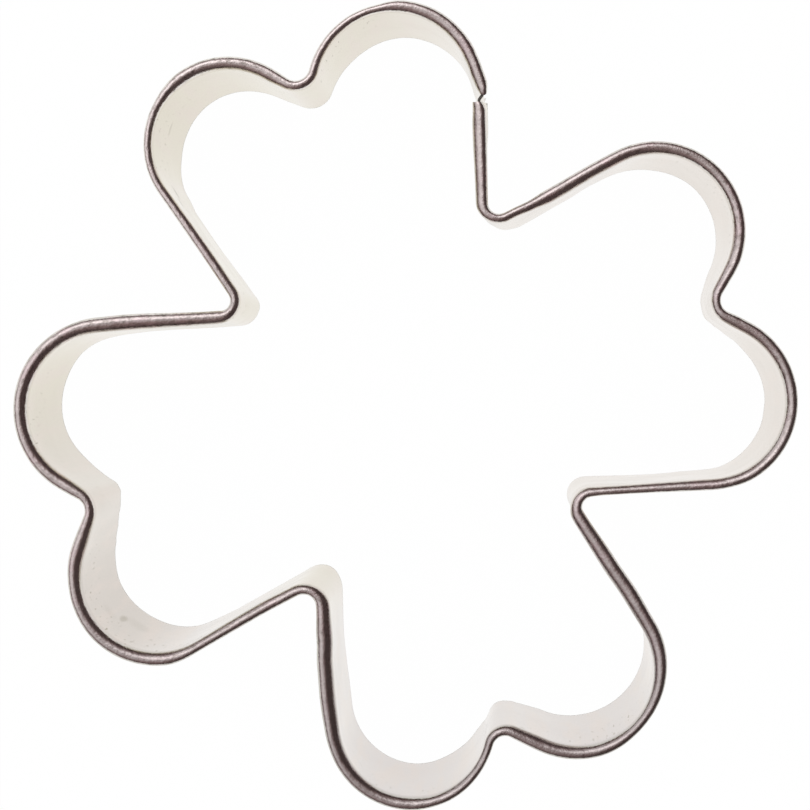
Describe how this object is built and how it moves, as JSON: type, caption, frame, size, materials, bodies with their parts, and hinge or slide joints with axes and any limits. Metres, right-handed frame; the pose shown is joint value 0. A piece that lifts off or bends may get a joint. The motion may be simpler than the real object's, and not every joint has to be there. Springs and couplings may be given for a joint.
{
  "type": "cookie cutter",
  "caption": "Clover-shaped cookie cutter: a thin steel strip on edge, with a folded rim on top to press on, a plain cutting edge below and a spot-welded lap seam.",
  "frame": {"origin": "middle of the clover's outline, on the plane of the cutting edge", "axes": "+Z from the cutting edge up to the folded rim; +Y towards the leaf that holds the seam; +X to the right with the rim towards the viewer"},
  "size_m": [0.0804, 0.0829, 0.022],
  "materials": {
    "strip": "fine satin tinplate, dull and slightly warm",
    "weld": "dull, slightly discoloured electrode mark"
  },
  "bodies": {
    "root": {"cutter_band": "strip", "spot_weld_lower": "weld", "spot_weld_upper": "weld"}
  },
  "joints": []
}
